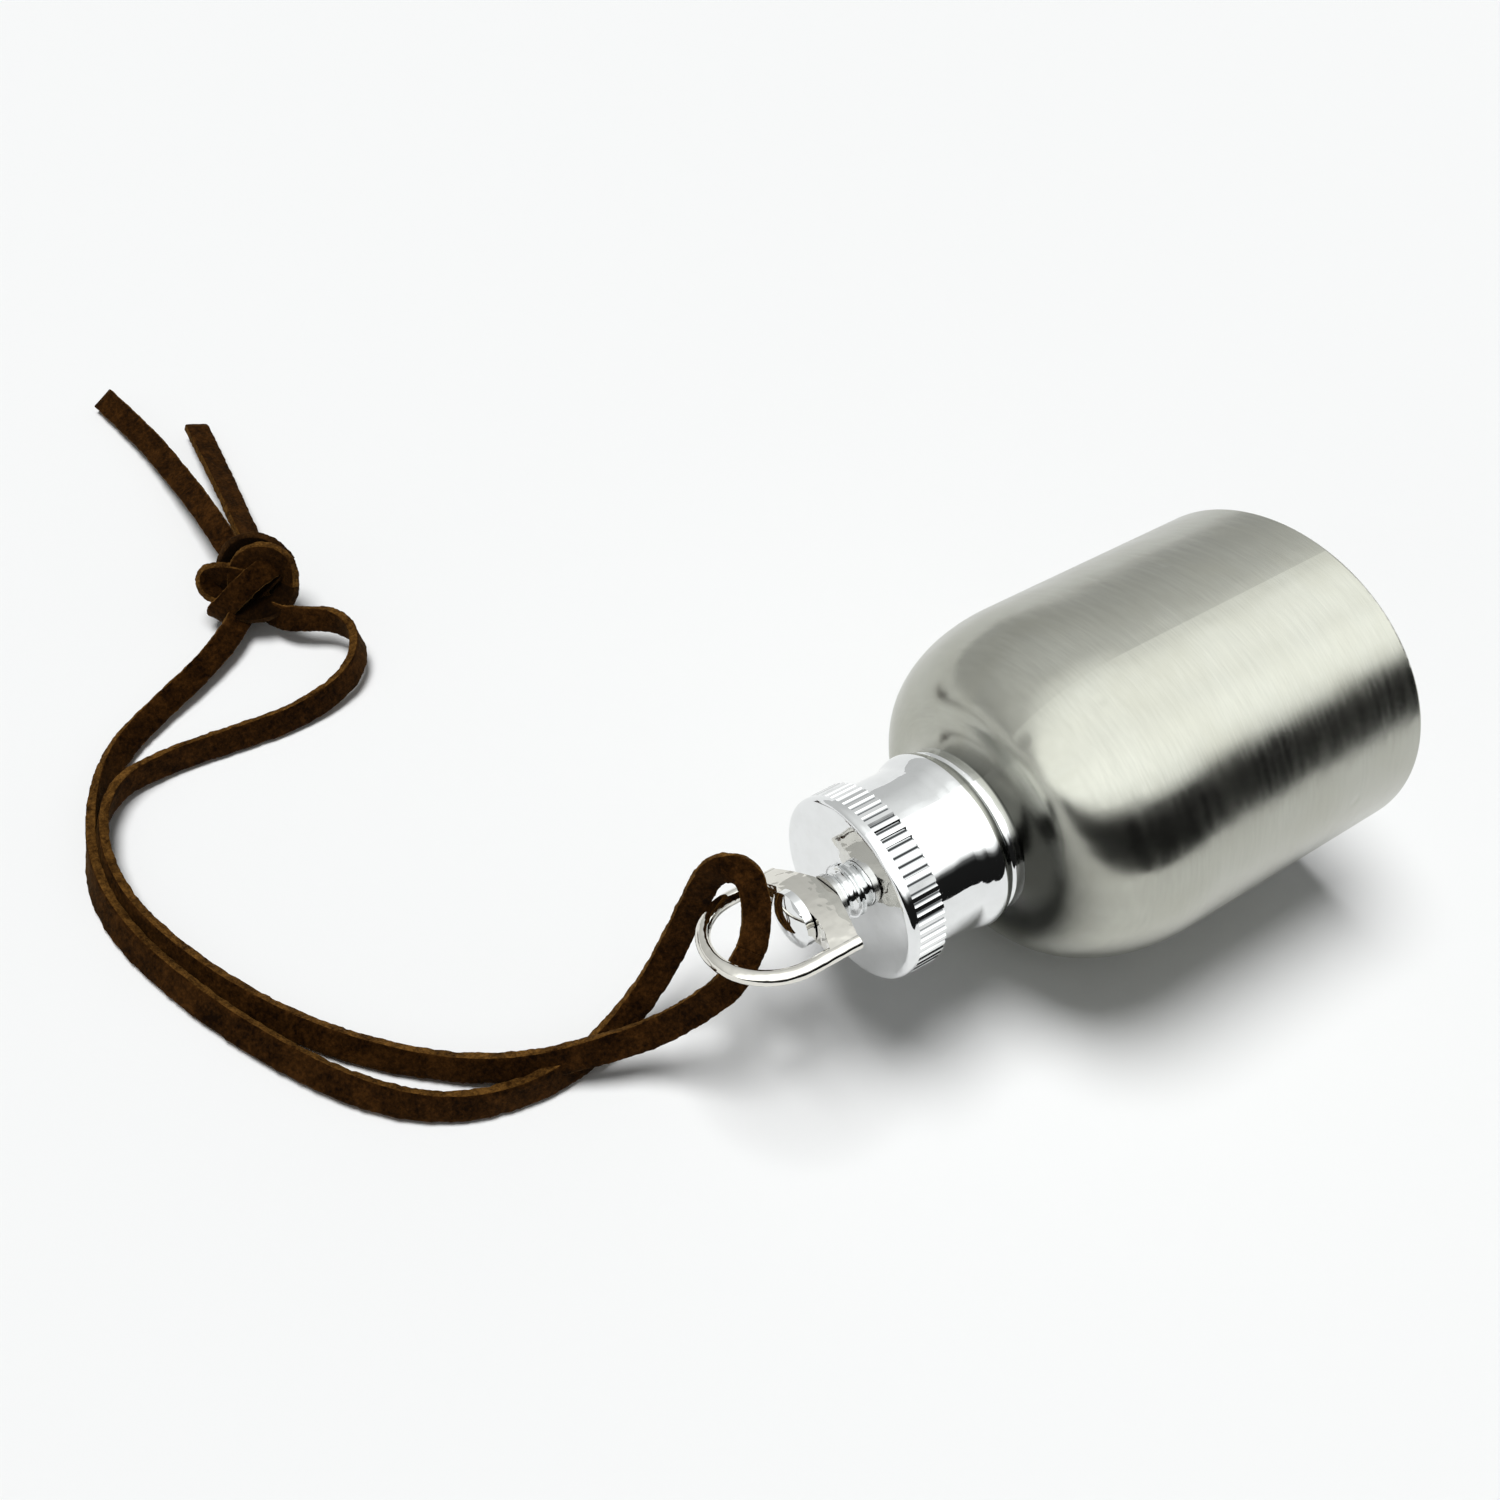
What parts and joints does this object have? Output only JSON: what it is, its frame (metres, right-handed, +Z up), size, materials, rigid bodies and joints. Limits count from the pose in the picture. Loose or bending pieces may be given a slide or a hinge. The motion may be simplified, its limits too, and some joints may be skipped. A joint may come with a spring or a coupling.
{
  "type": "miniature canteen",
  "caption": "Small brushed steel canteen lying on its side, with a knurled chrome screw cap, a swivel D-ring and a tied suede lace.",
  "frame": {"origin": "on the floor under the canteen, midway between the base and the tip of the D-ring", "axes": "+X along the canteen's axis from cap to base, +Z up, canteen lying on its side"},
  "size_m": [0.1302, 0.1551, 0.04],
  "materials": {
    "brushed_body": "fine circumferential brushing, a few small dents",
    "brushed_base": "pressed and lightly brushed",
    "neck_steel": "turned",
    "chrome_ring": "mirror",
    "chrome_cap": "mirror",
    "liner_plastic": "moulded",
    "gasket_rubber": "matt",
    "chrome_post": "mirror",
    "washer_steel": "stamped",
    "chrome_d_ring": "mirror, slightly uneven",
    "suede": "dark brown suede, lighter cut edges"
  },
  "bodies": {
    "canteen": {"body_shell": "brushed_body", "base_cup": "brushed_base", "neck_tube": "neck_steel", "neck_ring": "chrome_ring"},
    "washer": {"swivel_washer": "washer_steel"},
    "cap": {"cap_shell": "chrome_cap", "cap_liner": "liner_plastic", "cap_gasket": "gasket_rubber", "swivel_post": "chrome_post"},
    "ring": {"d_ring": "chrome_d_ring", "lace_strand_a": "suede", "lace_strand_b": "suede", "lace_knot": "suede", "lace_tail_a": "suede", "lace_tail_b": "suede"}
  },
  "joints": [
    {"name": "cap_lift", "type": "slide", "parent": "canteen", "child": "washer", "axis": [-1, 0, 0], "range_m": [0, 0.0075]},
    {"name": "cap_turn", "type": "hinge", "parent": "washer", "child": "cap", "pos_m": [-0.0226, 0, 0.02], "axis": [-1, 0, 0], "range_deg": [0, 1080]},
    {"name": "ring_swivel", "type": "hinge", "parent": "washer", "child": "ring", "pos_m": [-0.0266, 0, 0.02], "axis": [-1, 0, 0], "continuous": true}
  ],
  "couplings": [
    {"joint": "cap_turn", "follows": "cap_lift", "rad_per_m": 2513.3}
  ]
}
